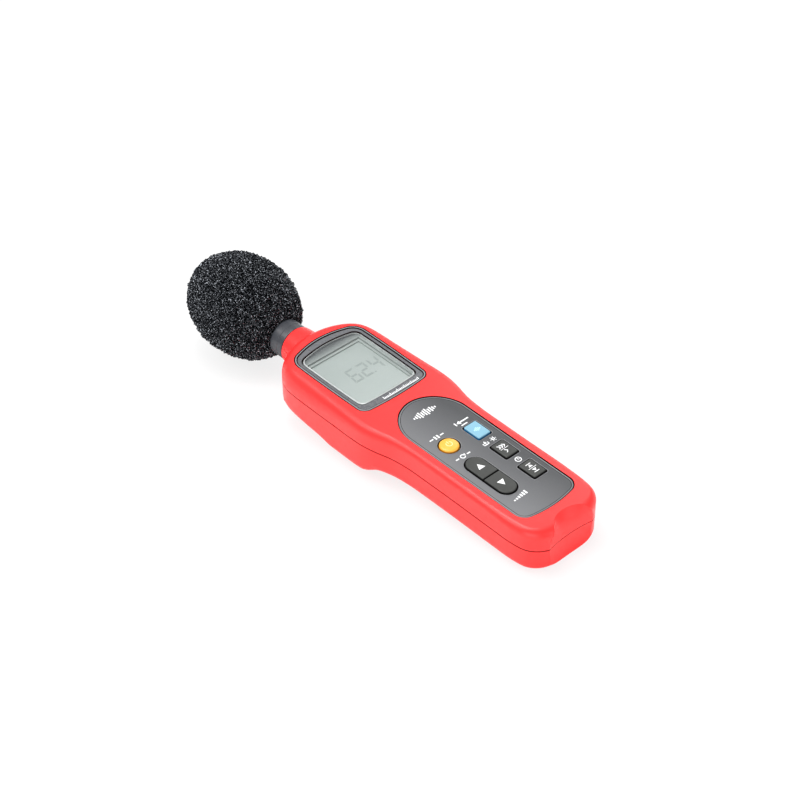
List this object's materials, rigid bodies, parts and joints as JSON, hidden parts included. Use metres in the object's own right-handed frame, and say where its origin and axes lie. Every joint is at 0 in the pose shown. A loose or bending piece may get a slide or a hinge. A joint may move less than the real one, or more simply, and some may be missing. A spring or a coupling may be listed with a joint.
{
  "type": "handheld sound level meter",
  "caption": "Handheld sound level meter: red two-part case, round foam windscreen, framed display, grey key panel with push keys, battery door at the back.",
  "frame": {"origin": "centre of the flat pad at the deepest point of the back, on the middle plane", "axes": "+X to the right seen from the front, +Y towards the microphone, +Z out of the front face"},
  "size_m": [0.0662, 0.2999, 0.059],
  "materials": {
    "red_plastic": "satin gloss moulded plastic",
    "bezel_grey": "satin",
    "panel_grey": "satin printed overlay",
    "window_clear": "clear",
    "yellow_key": "satin silicone-like",
    "blue_key": "satin silicone-like",
    "dark_key": "satin silicone-like",
    "dark_plastic": "satin",
    "foam_black": "open-cell foam",
    "board_green": "solder mask",
    "chip_black": "matte",
    "lcd_glass": "reflective liquid-crystal glass",
    "light_guide": "clear acrylic",
    "zebra_rubber": "matte",
    "trimmer_blue": "gloss",
    "brass": "turned",
    "steel": "bright",
    "contact_plate": "nickel plated",
    "cell_jacket": "printed sleeve",
    "cable_black": "matte"
  },
  "bodies": {
    "case": {"front_case": "red_plastic", "rear_case": "red_plastic", "display_bezel": "bezel_grey", "display_window": "window_clear", "keypad_panel": "panel_grey", "main_board": "board_green", "processor": "chip_black", "lcd_glass": "lcd_glass", "lcd_frame": "bezel_grey", "light_guide": "light_guide", "zebra_strip": "zebra_rubber", "cal_trimmer_body": "trimmer_blue", "mic_collar": "dark_plastic", "mic_tube": "steel", "mic_capsule": "steel", "mic_grille": "steel", "mic_cable": "cable_black", "tripod_bush": "brass", "contact_bridge_front": "contact_plate", "contact_bridge_rear": "contact_plate", "contact_positive": "contact_plate", "contact_negative": "contact_plate", "power_switch": "chip_black", "recall_switch": "chip_black", "fast_slow_switch": "chip_black", "max_min_switch": "chip_black", "level_up_switch": "chip_black", "level_down_switch": "chip_black", "battery_cell_1": "cell_jacket", "battery_spring_1": "steel", "battery_cell_2": "cell_jacket", "battery_spring_2": "steel", "battery_cell_3": "cell_jacket", "battery_spring_3": "steel", "case_screw_1": "steel", "case_screw_2": "steel", "case_screw_3": "steel", "case_screw_4": "steel"},
    "windscreen": {"foam_windscreen": "foam_black"},
    "door": {"battery_door": "red_plastic"},
    "trimmer": {"cal_trimmer_rotor": "brass"},
    "power_button": {"power_key": "yellow_key", "power_plunger": "dark_plastic"},
    "recall_button": {"recall_key": "blue_key", "recall_plunger": "dark_plastic"},
    "fast_slow_button": {"fast_slow_key": "dark_key", "fast_slow_plunger": "dark_plastic"},
    "max_min_button": {"max_min_key": "dark_key", "max_min_plunger": "dark_plastic"},
    "level_up_button": {"level_up_key": "dark_key", "level_up_plunger": "dark_plastic"},
    "level_down_button": {"level_down_key": "dark_key", "level_down_plunger": "dark_plastic"}
  },
  "joints": [
    {"name": "windscreen_pull", "type": "slide", "parent": "case", "child": "windscreen", "axis": [0, 1, 0], "range_m": [0, 0.06]},
    {"name": "battery_door_lift", "type": "slide", "parent": "case", "child": "door", "axis": [0, 0, -1], "range_m": [0, 0.03]},
    {"name": "trimmer_turn", "type": "hinge", "parent": "case", "child": "trimmer", "pos_m": [0.021, -0.014, 0.0247], "axis": [0, 0, 1], "range_deg": [-135, 135]},
    {"name": "power_press", "type": "slide", "parent": "case", "child": "power_button", "axis": [0, 0, -1], "range_m": [0, 0.001], "stiffness_N_per_m": 1500, "springref_m": -0.0002},
    {"name": "recall_press", "type": "slide", "parent": "case", "child": "recall_button", "axis": [0, 0, -1], "range_m": [0, 0.001], "stiffness_N_per_m": 1500, "springref_m": -0.0002},
    {"name": "fast_slow_press", "type": "slide", "parent": "case", "child": "fast_slow_button", "axis": [0, 0, -1], "range_m": [0, 0.001], "stiffness_N_per_m": 1500, "springref_m": -0.0002},
    {"name": "max_min_press", "type": "slide", "parent": "case", "child": "max_min_button", "axis": [0, 0, -1], "range_m": [0, 0.001], "stiffness_N_per_m": 1500, "springref_m": -0.0002},
    {"name": "level_up_press", "type": "slide", "parent": "case", "child": "level_up_button", "axis": [0, 0, -1], "range_m": [0, 0.001], "stiffness_N_per_m": 1500, "springref_m": -0.0002},
    {"name": "level_down_press", "type": "slide", "parent": "case", "child": "level_down_button", "axis": [0, 0, -1], "range_m": [0, 0.001], "stiffness_N_per_m": 1500, "springref_m": -0.0002}
  ]
}
